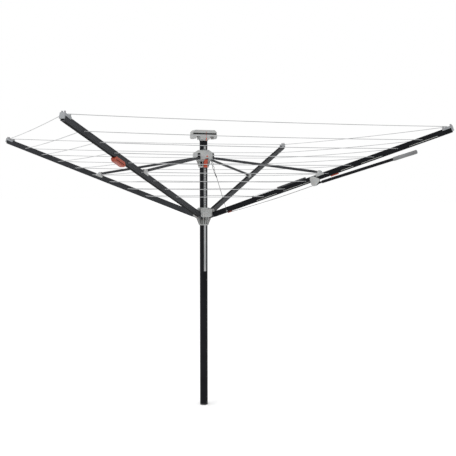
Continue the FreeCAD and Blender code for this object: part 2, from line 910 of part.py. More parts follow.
def rope_clips():
    """Two clips under arm 1."""
    inner = block("clip_inner", ("30", "10", "6"), ("rope_guide_along - 1", "-5", "-arm_high / 2 - 6"))
    outer = block("clip_outer", ("50", "12", "7"), ("833", "-6", "-arm_high / 2 - 7"))
    finish(group("clips", [inner, outer]), "rope_clips", arm_placement(1))


def rope_eyelet():
    """A pale eyelet on the side of arm 1 that the rope turns round."""
    start = ("rope_guide_along", "-arm_wide / 2 - 2", "-rope_guide_below")
    ring = rod("eyelet_ring", "4.5", "2", start, "y")
    hole = rod("eyelet_hole", "1.8", "2", start, "y")
    finish(cut("eyelet", ring, [hole]), "rope_eyelet", arm_placement(1))


# ---------------------------------------------------------------- lever and tensioners


def lever_housing():
    """The rounded three-cornered case on the side of arm 1 that holds the lever's axle."""
    body = design("housing_case")
    outline = draw(
        body,
        "XZ_Plane",
        "housing_outline",
        [
            ("lever_along - 33", "2"),
            ("lever_along - 26", "13"),
            ("lever_along - 8", "13"),
            ("lever_along + 24", "-14"),
            ("lever_along + 22", "-28"),
            ("lever_along - 8", "-47"),
            ("lever_along - 24", "-46"),
            ("lever_along - 34", "-32"),
        ],
    )
    pad(body, "housing_pad", outline, "housing_thick", midplane=True)
    tie(body, ".Placement.Base.y", "-arm_wide / 2 - housing_thick / 2")
    slot = block(
        "housing_slot",
        ("60", "10", "30"),
        ("lever_along - 11", "-lever_side - 5", "-lever_below - 19"),
    )
    start = ("lever_along", "-40", "-lever_below")
    bore = rod("housing_bore", "3", "40", start, "y")
    finish(cut("housing", body, [slot, bore]), "lever_housing", arm_placement(1))


def lever_axle():
    """The pin across the housing that the lever turns on."""
    start = ("lever_along", "-arm_wide / 2 - housing_thick", "-lever_below")
    axle = rod("lever_pin", "3", "housing_thick", start, "y")
    finish(group("lever_pins", [axle]), "lever_axle", arm_placement(1))


def lever_placement():
    """Where the lever's own frame stands: on its axle, +X along the lever."""
    base = Vector(size("lever_along"), -size("lever_side"), -size("lever_below"))
    return arm_placement(1).multiply(FreeCAD.Placement(base, Rotation(Y_AXIS, size("lever_slope"))))


def rope_drum():
    """The small drum at the lever's root that the pull rope winds on."""
    disc = rod("drum_disc", "9.5", "8", ("0", "-4", "0"), "y")
    bore = rod("drum_bore", "3 + pin_gap", "8", ("0", "-4", "0"), "y")
    finish(cut("drum", disc, [bore]), "rope_drum", lever_placement())


def lever_rod():
    """The long round rod of the lever, with a flat root that grips the drum."""
    root = block("lever_root", ("40", "8", "11"), ("0", "-4", "-5.5"))
    shaft = rod("lever_shaft", "lever_radius", "lever_reach - 38", ("34", "0", "0"), "x")
    drum_room = rod("drum_room", "9.5", "8", ("0", "-4", "0"), "y")
    solid = join("lever_solid", [root, shaft])
    finish(cut("lever", solid, [drum_room]), "lever_rod", lever_placement())


def lever_grip():
    """The soft round grip over the lever's end."""
    start = ("lever_reach - grip_long", "0", "0")
    outside = rod("grip_outside", "grip_radius", "grip_long", start, "x")
    inside = rod("grip_inside", "lever_radius", "grip_long - 4", start, "x")
    finish(cut("grip", outside, [inside]), "lever_grip", lever_placement())


def return_spring():
    """The coil spring on top of arm 1."""
    helix = doc.addObject("Part::Helix", "spring_helix")
    tie(helix, "Radius", "spring_radius")
    tie(helix, "Pitch", "spring_pitch")
    tie(helix, "Height", "spring_end - spring_start")
    wire = doc.addObject("Part::Circle", "spring_section")
    tie(wire, "Radius", "spring_wire")
    wire.Placement = FreeCAD.Placement(Vector(size("spring_radius"), 0, 0), Rotation(X_AXIS, 90))
    coil = doc.addObject("Part::Sweep", "spring_coil")
    coil.Sections = [wire]
    coil.Spine = (helix, ["Edge1"])
    coil.Solid = True
    coil.Frenet = True
    base = Vector(size("spring_start"), 0, size("arm_high") / 2 + size("spring_radius") + 1.5)
    lying = FreeCAD.Placement(base, Rotation(Y_AXIS, 90))
    finish(coil, "return_spring", arm_placement(1).multiply(lying))


def spring_anchor():
    """The dark block on arm 1 that holds the spring's inner end."""
    corner = ("spring_start - 12", "-6.5", "arm_high / 2")
    anchor = block("anchor_block", ("11", "13", "11"), corner)
    finish(group("anchor", [anchor]), "spring_anchor", arm_placement(1))


def spring_cover():
    """The dark cover on top of arm 1 that the spring runs into."""
    corner = ("spring_end + 1", "-8", "arm_high / 2")
    cover = block("cover_block", ("cover_end - spring_end - 1", "16", "10"), corner)
    peg = rod("cover_peg", "3", "4", ("cover_end - 8", "-12", "arm_high / 2 + 5"), "y")
    finish(join("cover", [cover, peg]), "spring_cover", arm_placement(1))


def line_tensioner():
    """The long six-sided box under arm 4, lapped over its sides, that takes up slack line."""
    body = design("tensioner_box")
    outline = draw(
        body,
        "XZ_Plane",
        "tensioner_outline",
        [
            ("tensioner_start", "-10"),
            ("tensioner_start + 13", "7"),
            ("tensioner_end - 13", "7"),
            ("tensioner_end", "-10"),
            ("tensioner_end - 13", "-tensioner_deep"),
            ("tensioner_start + 13", "-tensioner_deep"),
        ],
    )
    pad(body, "tensioner_pad", outline, "tensioner_wide", midplane=True)
    tie(body, ".Placement.Base.z", "-arm_high / 2")
    tools = [arm_section("tensioner_room", "tensioner_start - 5", "tensioner_end - tensioner_start + 10")]
    for side in ("tensioner_wide / 2 - 2", "-tensioner_wide / 2"):
        corner = ("tensioner_start + 16", side, "-arm_high / 2 - 12")
        long = "tensioner_end - tensioner_start - 32"
        tools.append(block(f"tensioner_groove_{len(tools)}", (long, "2", "4"), corner))
    finish(cut("tensioner", body, tools), "line_tensioner", arm_placement(ARMS))


# ---------------------------------------------------------------- build and export

for build in (
    foot_bush,
    pole_tube,
    rack_strip,
    head_body,
    head_cover,
    head_screws,
    head_marks,
    upper_hub_body,
    upper_hub_cap,
    strut_pivots,
    upper_hub_mark,
    release_lever,
    release_pin,
    lower_hub_body,
    lower_hub_plate,
    clothes_line,
    pull_rope_drop,
    pull_rope_run,
    rope_clips,
    rope_eyelet,
    lever_housing,
    lever_axle,
    rope_drum,
    lever_rod,
    lever_grip,
    return_spring,
    spring_anchor,
    spring_cover,
    line_tensioner,
):
    build()
liner("upper_hub_liner", "upper_skirt", "upper_top")
liner("lower_hub_liner", "lower_skirt", "lower_top")
for number in range(1, ARMS + 1):
    for build in (arm_tube, arm_foot, tip_cap, strut_bracket, strut_pin, strut_tube, strut_ends):
        build(number)

doc.recompute()
for item in doc.Objects:
    if "Invalid" in item.State or "Error" in item.State:
        raise RuntimeError(f"{item.Name} failed: {item.State}")
os.makedirs("parts", exist_ok=True)
for item in finished:
    if item.Shape.isNull() or not item.Shape.isValid():
        raise RuntimeError(f"{item.Label} has no valid shape")
    item.Shape.exportStep(f"parts/{item.Label}.step")
    solids = len(item.Shape.Solids)
    print(f"{item.Label}: {item.Shape.Volume / 1000:.2f} cm3 in {solids} solid(s)")
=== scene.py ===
# %% [markdown]
# # A rotary clothesline, dressed around its CAD frame
#
# The frame holds every hard part in its right place: pole, hubs, arms, struts and lever. This lesson adds
# what the frame leaves plain: soft edges, moulded ribs, real line that sags, a twisted rope, and finishes
# made from noise and wave textures. All lengths are in metres, +Z is up and arm 1 points along +X.

# %% Load the frame
import json
import math

import bpy
from mathutils import Matrix, Quaternion, Vector


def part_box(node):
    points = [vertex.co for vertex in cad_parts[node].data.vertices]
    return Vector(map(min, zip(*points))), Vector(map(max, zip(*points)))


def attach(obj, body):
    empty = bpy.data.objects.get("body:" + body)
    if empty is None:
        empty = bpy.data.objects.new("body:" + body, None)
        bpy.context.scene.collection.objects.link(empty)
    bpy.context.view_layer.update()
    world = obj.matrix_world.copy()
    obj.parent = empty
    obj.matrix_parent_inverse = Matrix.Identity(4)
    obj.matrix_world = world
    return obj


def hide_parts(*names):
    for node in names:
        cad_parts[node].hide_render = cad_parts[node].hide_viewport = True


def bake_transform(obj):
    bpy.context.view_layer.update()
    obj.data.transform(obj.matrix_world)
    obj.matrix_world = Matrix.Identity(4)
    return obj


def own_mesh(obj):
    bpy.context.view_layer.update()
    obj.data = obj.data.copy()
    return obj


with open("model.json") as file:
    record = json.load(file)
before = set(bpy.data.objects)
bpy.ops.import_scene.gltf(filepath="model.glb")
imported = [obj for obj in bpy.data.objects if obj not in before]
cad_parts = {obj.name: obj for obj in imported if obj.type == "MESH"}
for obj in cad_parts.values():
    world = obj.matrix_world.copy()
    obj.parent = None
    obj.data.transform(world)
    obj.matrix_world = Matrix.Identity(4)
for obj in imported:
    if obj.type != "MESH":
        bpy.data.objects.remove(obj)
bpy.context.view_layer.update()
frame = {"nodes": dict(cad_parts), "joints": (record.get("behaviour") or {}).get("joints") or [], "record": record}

nodes = frame["nodes"]

# %% [markdown]
# ## Camera
#
# The camera stands about five metres from the pole at chest height, between arms 4 and 1, and looks a
# little downhill. A 63 mm lens on a 36 mm sensor keeps the arms' perspective mild. A camera's own axis is
# -Z, so the direction is turned into a rotation with a tracking quaternion instead of three angles.

# %% Place the camera
camera_data = bpy.data.cameras.new("camera")
camera_data.lens = 63.1
camera_data.sensor_width = 36.0
camera = bpy.data.objects.new("camera", camera_data)
bpy.context.scene.collection.objects.link(camera)
CAMERA_PLACE = (2.1752, -4.6757, 1.4282)
CAMERA_LOOKS = Vector((-0.3934, 0.9178, -0.0535))
camera.location = CAMERA_PLACE
camera.rotation_mode = "QUATERNION"
camera.rotation_quaternion = CAMERA_LOOKS.to_track_quat("-Z", "Y")
bpy.context.scene.camera = camera
print("camera to pole:", round(Vector(camera.location[:2]).length, 3), "m")

# %% [markdown]
# ## Helpers for finishes
#
# Each finish is one node tree. A moulded or coated surface isn't one flat colour, so every finish mixes two
# near tones by a texture and drives its bump from one. Object coordinates are used, because the parts have
# no UV map and the pattern then keeps one scale on every piece.


# %% Start a material
def start_finish(name, roughness, metallic=0.0):
    """A material with its shader, ready for textures."""
    material = bpy.data.materials.new(name)
    material.use_nodes = True
    tree = material.node_tree
    shader = tree.nodes["Principled BSDF"]
    shader.inputs["Roughness"].default_value = roughness
    shader.inputs["Metallic"].default_value = metallic
    place = tree.nodes.new("ShaderNodeTexCoord")
    return material, tree, shader, place.outputs["Object"]


# %% Noise and two-tone colour
def noise(tree, place, scale, detail=4.0, rough=0.55):
    """A noise texture's value at one scale, in cycles per metre."""
    texture = tree.nodes.new("ShaderNodeTexNoise")
    texture.inputs["Scale"].default_value = scale
    texture.inputs["Detail"].default_value = detail
    texture.inputs["Roughness"].default_value = rough
    tree.links.new(place, texture.inputs["Vector"])
    return texture.outputs["Fac"]


def two_tones(tree, value, dark, light, low=0.35, high=0.65):
    """A colour ramp from one tone to another over part of a texture's range."""
    ramp = tree.nodes.new("ShaderNodeValToRGB")
    ramp.color_ramp.elements[0].position = low
    ramp.color_ramp.elements[0].color = (*dark, 1)
    ramp.color_ramp.elements[1].position = high
    ramp.color_ramp.elements[1].color = (*light, 1)
    tree.links.new(value, ramp.inputs["Fac"])
    return ramp.outputs["Color"]


# %% Uneven gloss and relief
def uneven_gloss(tree, shader, value, low, high):
    """Let a texture move the roughness between two limits."""
    spread = tree.nodes.new("ShaderNodeMapRange")
    spread.inputs["To Min"].default_value = low
    spread.inputs["To Max"].default_value = high
    tree.links.new(value, spread.inputs["Value"])
    tree.links.new(spread.outputs["Result"], shader.inputs["Roughness"])


def relief(tree, shader, value, strength, depth):
    """Turn a texture into bump, with its depth in metres."""
    bump = tree.nodes.new("ShaderNodeBump")
    bump.inputs["Strength"].default_value = strength
    bump.inputs["Distance"].default_value = depth
    tree.links.new(value, bump.inputs["Height"])
    tree.links.new(bump.outputs["Normal"], shader.inputs["Normal"])


# %% [markdown]
# ## Powder-coated aluminium
#
# The pole, arms, struts and lever are aluminium profiles with an anthracite powder coat: nearly black, a
# touch blue, satin, with the very fine orange-peel that baked powder leaves. A fine noise drives the bump
# and two coarser ones vary tone and gloss, so long straight faces catch the light unevenly. The pole, arm 1
# and the lever's rod get a darker coat by the same recipe, and that darker coat is painted shade: the real
# dryer has one coat all over, and the difference is only light.


# %% Dark coated metal
def coated_metal(name, dark, light, shine):
    """A satin powder coat in two near tones, with its specular level."""
    material, tree, shader, place = start_finish(name, 0.5)
    broad = noise(tree, place, 9.0)
    tree.links.new(two_tones(tree, broad, dark, light), shader.inputs["Base Color"])
    uneven_gloss(tree, shader, noise(tree, place, 40.0), 0.42, 0.6)
    relief(tree, shader, noise(tree, place, 1400.0, detail=2.0), 0.12, 0.0004)
    shader.inputs["Specular IOR Level"].default_value = shine
    return material


# %% [markdown]
# ## Moulded plastics
#
# The head, hubs, brackets and caps are pale grey moulded plastic that has stood outdoors. One recipe serves
# every moulded colour: two near tones, a fine grain from the mould, and slightly uneven gloss. A function
# with the tones as arguments keeps the family alike.


# %% Moulded plastic in any colour
def moulded(name, dark, light, gloss=(0.38, 0.55), grain=0.10):
    """A moulded plastic in two near tones, with its range of roughness and its grain."""
    material, tree, shader, place = start_finish(name, sum(gloss) / 2)
    broad = noise(tree, place, 14.0, detail=6.0)
    tree.links.new(two_tones(tree, broad, dark, light), shader.inputs["Base Color"])
    uneven_gloss(tree, shader, noise(tree, place, 55.0), *gloss)
    relief(tree, shader, noise(tree, place, 900.0, detail=3.0), grain, 0.0005)
    shader.inputs["Subsurface Weight"].default_value = 0.02
    return material


# %% [markdown]
# ## Zinc-plated steel, line and braid
#
# Pins, screws and the spring are plated steel, with a soft fine mottle. The line is a smooth plastic
# coat over fibre, so it only needs a faint twist in its relief. The pull rope is a dark braid: two wave
# textures that cross at an angle make the over-and-under of its strands.


# %% Plated steel
def plated_steel():
    """Zinc plate with a fine mottle."""
    material, tree, shader, place = start_finish("zinc_plated_steel", 0.35, metallic=0.9)
    broad = noise(tree, place, 120.0, detail=5.0)
    colour = two_tones(tree, broad, (0.36, 0.37, 0.38), (0.55, 0.56, 0.57))
    tree.links.new(colour, shader.inputs["Base Color"])
    uneven_gloss(tree, shader, noise(tree, place, 300.0), 0.25, 0.45)
    relief(tree, shader, noise(tree, place, 1500.0), 0.08, 0.0003)
    return material


# %% Waves for twisted and braided cord
def wave(tree, place, scale, direction, distortion=0.0):
    """Bands across one direction of the object's space."""
    texture = tree.nodes.new("ShaderNodeTexWave")
    texture.bands_direction = direction
    texture.inputs["Scale"].default_value = scale
    texture.inputs["Distortion"].default_value = distortion
    tree.links.new(place, texture.inputs["Vector"])
    return texture.outputs["Fac"]


def line_coat():
    """The line's smooth coat, with the twist of its fibre showing through."""
    material, tree, shader, place = start_finish("white_line_coat", 0.45)
    broad = noise(tree, place, 6.0)
    colour = two_tones(tree, broad, (0.26, 0.265, 0.27), (0.36, 0.365, 0.37))
    tree.links.new(colour, shader.inputs["Base Color"])
    relief(tree, shader, wave(tree, place, 160.0, "DIAGONAL"), 0.15, 0.0003)
    return material


def braid():
    """Dark strands that cross over and under."""
    material, tree, shader, place = start_finish("dark_braid", 0.8)
    crossing = tree.nodes.new("ShaderNodeMath")
    crossing.operation = "MULTIPLY"
    tree.links.new(wave(tree, place, 210.0, "DIAGONAL"), crossing.inputs[0])
    tree.links.new(wave(tree, place, 260.0, "Z", distortion=2.0), crossing.inputs[1])
    weave = crossing.outputs["Value"]
    colour = two_tones(tree, weave, (0.012, 0.0125, 0.014), (0.07, 0.07, 0.07), 0.1, 0.8)
    tree.links.new(colour, shader.inputs["Base Color"])
    relief(tree, shader, weave, 0.5, 0.0006)
    shader.inputs["Sheen Weight"].default_value = 0.2
    return material


# %% [markdown]
# Every material slot of the record gets one finish. Below them stand the finishes that only a few pieces
# need: the darker coat and the black, both of them painted shade, the deeper orange of the tensioner and
# the bluer grey of the caps.

# %% Make one finish for each material slot
PALE = ((0.255, 0.26, 0.257), (0.315, 0.32, 0.316))
FINISHES = {
    "dark_metal": coated_metal(
        "anthracite_coat", (0.0105, 0.0115, 0.014), (0.0185, 0.020, 0.0235), shine=0.24),
    # Painted shade: a darker copy of the anthracite coat.
    "painted_shade_coat": coated_metal(
        "anthracite_painted_shade_coat", (0.003, 0.0033, 0.0045), (0.0058, 0.0063, 0.008), shine=0.09),
    "pale_plastic": moulded("pale_grey_moulded", *PALE),
    "dark_plastic": moulded("black_moulded", (0.014, 0.015, 0.017), (0.03, 0.031, 0.034)),
    "orange_plastic": moulded(
        "orange_moulded", (0.34, 0.032, 0.006), (0.42, 0.05, 0.010), gloss=(0.3, 0.42)),
    "strip_plastic": moulded("grey_rack_strip", (0.22, 0.225, 0.23), (0.28, 0.285, 0.29)),
    "liner_plastic": moulded(
        "slippery_liner", (0.38, 0.38, 0.36), (0.45, 0.45, 0.43), gloss=(0.25, 0.35)),
    "bright_steel": plated_steel(),
    "line_cord": line_coat(),
    "rope_cord": braid(),
    # Painted shade: a near-black finish for strips and bars that stand where shade falls.
    "insert_black": moulded(
        "near_black_painted_shade", (0.0035, 0.0037, 0.004), (0.007, 0.0073, 0.008), gloss=(0.6, 0.75)),
    "deep_orange": moulded(
        "deep_orange_moulded", (0.22, 0.024, 0.005), (0.30, 0.038, 0.009), gloss=(0.35, 0.5)),
    "tip_grey": moulded("bluish_grey_moulded", (0.19, 0.198, 0.208), (0.24, 0.248, 0.259)),
}
# The black of painted shade gets hardly any specular light.
painted_shade_shader = FINISHES["insert_black"].node_tree.nodes["Principled BSDF"]
painted_shade_shader.inputs["Specular IOR Level"].default_value = 0.05
print("finishes:", ", ".join(FINISHES))


# %% Give every CAD node its finish
def dress(piece, slot):
    """Put one finish on a whole piece."""
    piece.data.materials.clear()
    piece.data.materials.append(FINISHES[slot])
    for face in piece.data.polygons:
        face.material_index = 0


for subpart in frame["record"]["subparts"]:
    dress(nodes[subpart["node"]], subpart["material_slot"])
for number in range(1, 5):
    dress(nodes[f"tip_cap_{number}"], "tip_grey")
dress(nodes["line_tensioner"], "deep_orange")
# Painted shade: the pole, the lever's rod and arm 1 get the darker coat.
for name in ("pole_tube", "lever_rod", "arm_tube_1"):
    dress(nodes[name], "painted_shade_coat")

# %% [markdown]
# ## Soft edges on the hard parts
#
# A real moulding or extrusion has no knife edges: a small radius catches a line of light. The CAD meshes
# are made of triangles, so a weld joins their corners, a planar decimate gives back whole faces, and an
# angle-limited bevel rounds the edges. Modifiers leave the CAD mesh itself alone.


# %% Round a node's edges with modifiers
def soften(name, width, segments=2):
    """Round the sharp edges of a CAD node without changing its mesh."""
    piece = nodes[name]
    weld = piece.modifiers.new("join_corners", "WELD")
    weld.merge_threshold = 0.00002
    flat = piece.modifiers.new("whole_faces", "DECIMATE")
    flat.decimate_type = "DISSOLVE"
    flat.angle_limit = math.radians(1.0)
    bevel = piece.modifiers.new("soft_edge", "BEVEL")
    bevel.width = width
    bevel.segments = segments
    bevel.limit_method = "ANGLE"
    bevel.angle_limit = math.radians(40)
    bevel.harden_normals = True


SOFT_EDGES = {
    "head_cover": 0.0035,
    "head_body": 0.0025,
    "upper_hub_body": 0.0018,
    "upper_hub_cap": 0.0015,
    "lower_hub_body": 0.0015,
    "lower_hub_plate": 0.0015,
    "release_lever": 0.0015,
    "lever_housing": 0.003,
    "line_tensioner": 0.003,
    "spring_cover": 0.002,
    "spring_anchor": 0.0015,
    "rope_clips": 0.0015,
    "rack_strip": 0.0005,
    "head_screws": 0.0008,
}
for number in range(1, 5):
    SOFT_EDGES[f"tip_cap_{number}"] = 0.0022
    SOFT_EDGES[f"strut_bracket_{number}"] = 0.0022
    SOFT_EDGES[f"arm_foot_{number}"] = 0.0015
    SOFT_EDGES[f"strut_ends_{number}"] = 0.001
for name, width in SOFT_EDGES.items():
    soften(name, width)
print("softened:", len(SOFT_EDGES))

# %% [markdown]
# ## Places on the arms
#
# Lines, bushes and rope all hang on the arms. An arm rises from its pivot at a fixed slope, so one helper
# turns "so far along, so far to the side, so far above" into a place in the frame. The fold's travel is
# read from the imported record. The slopes and the pivot are the frame's own sizes, written again in metres.

# %% Sizes of the linkage
joints = {joint["name"]: joint for joint in frame["joints"]}
FOLD_TRAVEL = joints["fold"]["range_m"][1]
ARM_SLOPE = math.radians(18.8)
ARM_FOLDED = math.radians(85.0)
ARM_PIVOT = Vector((0.050, 0, 1.2335))
QUARTER = math.pi / 2
print("fold travel:", FOLD_TRAVEL)


def around(number, point):
    """Turn a point of arm 1's upright plane to another arm."""
    return Matrix.Rotation(QUARTER * (number - 1), 4, "Z") @ Vector(point)


def on_arm(number, along, side=0.0, above=0.0):
    """A place on an arm: along it, to its left, and above its middle."""
    x = ARM_PIVOT.x + along * math.cos(ARM_SLOPE) - above * math.sin(ARM_SLOPE)
    z = ARM_PIVOT.z + along * math.sin(ARM_SLOPE) + above * math.cos(ARM_SLOPE)
    return around(number, (x, side, z))


# %% [markdown]
# ## Tubes along a path
#
# Line, rope, wire and rings are all round sections swept along points. A curve with a bevel would do, but a
# mesh could flatten or bend with a joint, though none of these pieces does. The helper carries a ring of
# points along the path and turns it only as far as the path turns, so the tube never twists.


# %% Sweep a round section
def new_piece(name, vertices, faces, slot, smooth=True):
    """A mesh object with its finish."""
    mesh = bpy.data.meshes.new(name)
    mesh.from_pydata([tuple(v) for v in vertices], [], faces)
    mesh.update()
    piece = bpy.data.objects.new(name, mesh)
    bpy.context.scene.collection.objects.link(piece)
    dress(piece, slot)
    for face in mesh.polygons:
        face.use_smooth = smooth
    return piece


def sweep(path, radius, sides=8):
    """Points and faces of a tube along a path, with closed ends."""
    path = [Vector(p) for p in path]
    ahead = (path[1] - path[0]).normalized()
    across = ahead.orthogonal().normalized()
    vertices, faces = [], []
    for index, centre in enumerate(path):
        before = path[max(index - 1, 0)]
        after = path[min(index + 1, len(path) - 1)]
        now = (after - before).normalized()
        across = (ahead.rotation_difference(now) @ across).normalized()
        ahead = now
        up = ahead.cross(across)
        for side in range(sides):
            angle = 2 * math.pi * side / sides
            vertices.append(centre + (across * math.cos(angle) + up * math.sin(angle)) * radius)
    for ring in range(len(path) - 1):
        for side in range(sides):
            a = ring * sides + side
            b = ring * sides + (side + 1) % sides
            faces.append((a, b, b + sides, a + sides))
    faces.append(tuple(reversed(range(sides))))
    last = (len(path) - 1) * sides
    faces.append(tuple(range(last, last + sides)))
    return vertices, faces


def gather(parts):
    """Several swept parts as one list of points and faces."""
    vertices, faces = [], []
    for more, loops in parts:
        start = len(vertices)
        vertices += more
        faces += [tuple(start + index for index in loop) for loop in loops]
    return vertices, faces


# %% [markdown]
# ## The clothes line
#
# Nine rounds of line cross all four arms. The outermost lies over the tip caps, and the others go straight
# through the arms. Between two arms a span is held only at its ends, so it sags a little, more on the long
# outer spans. When the dryer folds, the arms close up and each span falls slack between them. Each span is
# therefore made as two halves, one on each arm. For each half a direction to flatten along is worked out,
# so that both halves would still meet in the middle, hanging down, when the dryer is shut. The flattening
# itself is not applied, so each half keeps its shape as the fold joint moves.

# %% Sizes of the rounds
ROUNDS = 9
LINE_OUTER = 1.523
LINE_STEP = 0.1384
CROSSING = 0.015
LINE_RADIUS = 0.00175
SAG_SHARE = 0.0035
HALF_STEPS = 12
OVER_CAP = 0.0245


def round_radius(turn):
    """How far from the pole's middle a round crosses the arms, counted from the outermost."""
    return LINE_OUTER - turn * LINE_STEP


def round_height(turn):
    """The outermost round lies over the tip caps, and the others pass through the arms' middles."""
    middle = ARM_PIVOT.z + (round_radius(turn) - ARM_PIVOT.x) * math.tan(ARM_SLOPE)
    return middle + (OVER_CAP if turn == 0 else 0)


# %% Where a half span goes when the dryer is shut
def fold_point(point):
    """Arm 1's place for a point once the dryer is folded."""
    turn = ARM_FOLDED - ARM_SLOPE
    x, z = point.x - ARM_PIVOT.x, point.z - ARM_PIVOT.z
    moved_x = ARM_PIVOT.x + x * math.cos(turn) - z * math.sin(turn)
    moved_z = ARM_PIVOT.z - FOLD_TRAVEL + x * math.sin(turn) + z * math.cos(turn)
    return Vector((moved_x, point.y, moved_z))


def unfold_direction(direction):
    """A direction on the folded arm 1, as it lies on the open arm."""
    turn = ARM_FOLDED - ARM_SLOPE
    x = direction.x * math.cos(turn) + direction.z * math.sin(turn)
    z = -direction.x * math.sin(turn) + direction.z * math.cos(turn)
    return Vector((x, direction.y, z))


def crumple(held, middle, droop):
    """The axis and the share kept that take a half span's middle to where it hangs."""
    shut = fold_point(held)
    centre = (shut.x + shut.y) / 2
    hanging = Vector((centre, centre, shut.z - droop))
    wanted = unfold_direction(hanging - shut)
    now = middle - held
    change = now - wanted
    keep = 1 - change.length_squared / now.dot(change)
    return change.normalized(), keep


# %% Make the spans
def half_span(turn):
    """Points of arm 1's half span on its left, from the arm to the middle."""
    radius, height = round_radius(turn), round_height(turn)
    held = Vector((radius, CROSSING, height))
    end = Vector((CROSSING, radius, height))
    sag = (end - held).length * SAG_SHARE
    points = []
    for step in range(HALF_STEPS + 1):
        share = 0.5 * step / HALF_STEPS
        low = sag * 4 * share * (1 - share)
        points.append(held.lerp(end, share) - Vector((0, 0, low)))
    return points


def mirrored(point):
    """The same place on the other side of arm 1."""
    return Vector((point.x, -point.y, point.z))


kept_shares = []
for turn in range(ROUNDS):
    points = half_span(turn)
    droop = 0.5 * (points[-1] - points[0]).length
    axis, keep = crumple(points[0], points[-1], droop)
    kept_shares.append(round(keep, 3))
    for number in range(1, 5):
        for side, flip in (("left", lambda p: p), ("right", mirrored)):
            path = [around(number, flip(p)) for p in points]
            name = f"line_{turn + 1}_arm_{number}_{side}"
            piece = new_piece(name, *sweep(path, LINE_RADIUS), "line_cord")
            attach(piece, f"arm_{number}")
            around(number, flip(axis))
            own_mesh(piece)
            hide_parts("clothes_line")
print("share of each span kept when folded:", kept_shares)

# %% [markdown]
# Where a round passes through an arm it lies in two small dark bushes, one on each side, which keep the
# line off the metal's edge. They are rings with a rolled lip, set over the drilled holes.


# %% Line through the arms, and its bushes
def ring(centre, axis, radius, section, steps=20, sides=8):
    """Points and faces of a ring round an axis."""
    axis = axis.normalized()
    across = axis.orthogonal().normalized()
    vertices, faces = [], []
    for step in range(steps):
        outward = Quaternion(axis, 2 * math.pi * step / steps) @ across
        for side in range(sides):
            angle = 2 * math.pi * side / sides
            reach = radius + section * math.cos(angle)
            vertices.append(centre + outward * reach + axis * section * math.sin(angle))
    for step in range(steps):
        for side in range(sides):
            a = step * sides + side
            b = step * sides + (side + 1) % sides
            c = ((step + 1) % steps) * sides + (side + 1) % sides
            d = ((step + 1) % steps) * sides + side
            faces.append((a, b, c, d))
    return vertices, faces


ARM_HALF_WIDE = 0.0105
BUSH_RADIUS = 0.0032
BUSH_SECTION = 0.0011
for number in range(1, 5):
    runs, bushes = [], []
    sideways = around(number, (0, 1, 0))
    for turn in range(ROUNDS):
        centre = around(number, (round_radius(turn), 0, round_height(turn)))
        ends = [centre - sideways * CROSSING, centre, centre + sideways * CROSSING]
        runs.append(sweep(ends, LINE_RADIUS))
        for side in (-1, 1) if turn else ():
            lip = centre + sideways * side * ARM_HALF_WIDE
            bushes.append(ring(lip, sideways, BUSH_RADIUS, BUSH_SECTION))
    crossing = new_piece(f"line_through_arm_{number}", *gather(runs), "line_cord")
    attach(crossing, f"arm_{number}")
    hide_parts("clothes_line")
    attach(new_piece(f"line_bushes_{number}", *gather(bushes), "dark_plastic"), f"arm_{number}")
print("bushes on each arm:", len(bushes))

# %% [markdown]
# ## Strips and bars of painted shade and highlight, and fins
#
# Many small details are straight bars: the black strip of painted shade on an arm's top and bottom face,
# the light bar of painted highlight in its groove, the painted shade inside a slot. One helper draws a bar
# between two points with chamfered long edges, so even the smallest bar catches light like a moulded one.


# %% A chamfered bar between two points
def bar(start, end, across, wide, high, edge=0.0003):
    """Points and faces of a straight bar with its long edges chamfered."""
    start, end = Vector(start), Vector(end)
    across = Vector(across).normalized()
    up = (end - start).normalized().cross(across)
    w, h = wide / 2, high / 2
    section = [
        (w - edge, -h), (w, -h + edge), (w, h - edge), (w - edge, h),
        (-w + edge, h), (-w, h - edge), (-w, -h + edge), (-w + edge, -h),
    ]
    vertices = [end_point + across * x + up * y for end_point in (start, end) for x, y in section]
    faces = [(i, (i + 1) % 8, (i + 1) % 8 + 8, i + 8) for i in range(8)]
    return vertices, faces + [tuple(reversed(range(8))), tuple(range(8, 16))]


# %% [markdown]
# A black strip of painted shade lies along the top and bottom face of each arm. On top it stops short of
# the strut bracket, and of the parts that stand on arm 1.

# %% Painted shade strips along the arms
SHADE_STRIP_WIDE = 0.0195
SHADE_STRIP_THICK = 0.0006
SHADE_STRIP_EDGE = 0.0001
BOTTOM_SPAN = (0.030, 1.570)
TOP_SPANS = [(0.030, 0.744), (0.802, 1.530)]
ARM_1_SPANS = [(0.030, 0.308), (0.802, 1.530)]
ARM_HALF_HIGH = 0.0165
for number in range(1, 5):
    sideways = around(number, (0, 1, 0))
    bars = []
    for begin, stop in ARM_1_SPANS if number == 1 else TOP_SPANS:
        ends = [on_arm(number, along, 0, ARM_HALF_HIGH + SHADE_STRIP_EDGE) for along in (begin, stop)]
        bars.append(bar(*ends, sideways, SHADE_STRIP_WIDE, SHADE_STRIP_THICK, SHADE_STRIP_EDGE))
    ends = [on_arm(number, along, 0, -ARM_HALF_HIGH - SHADE_STRIP_EDGE) for along in BOTTOM_SPAN]
    bars.append(bar(*ends, sideways, SHADE_STRIP_WIDE, SHADE_STRIP_THICK, SHADE_STRIP_EDGE))
    shade_strips = new_piece(f"arm_shade_strips_{number}", *gather(bars), "insert_black", smooth=False)
    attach(shade_strips, f"arm_{number}")
print("inserts on each arm:", len(bars))

# %% [markdown]
# Arm 1 carries the lever, and a painted highlight shows here and there in the lowest groove of its near
# side: a light bar that stands in for the shine along the groove. It is laid in five lengths with gaps
# between them.

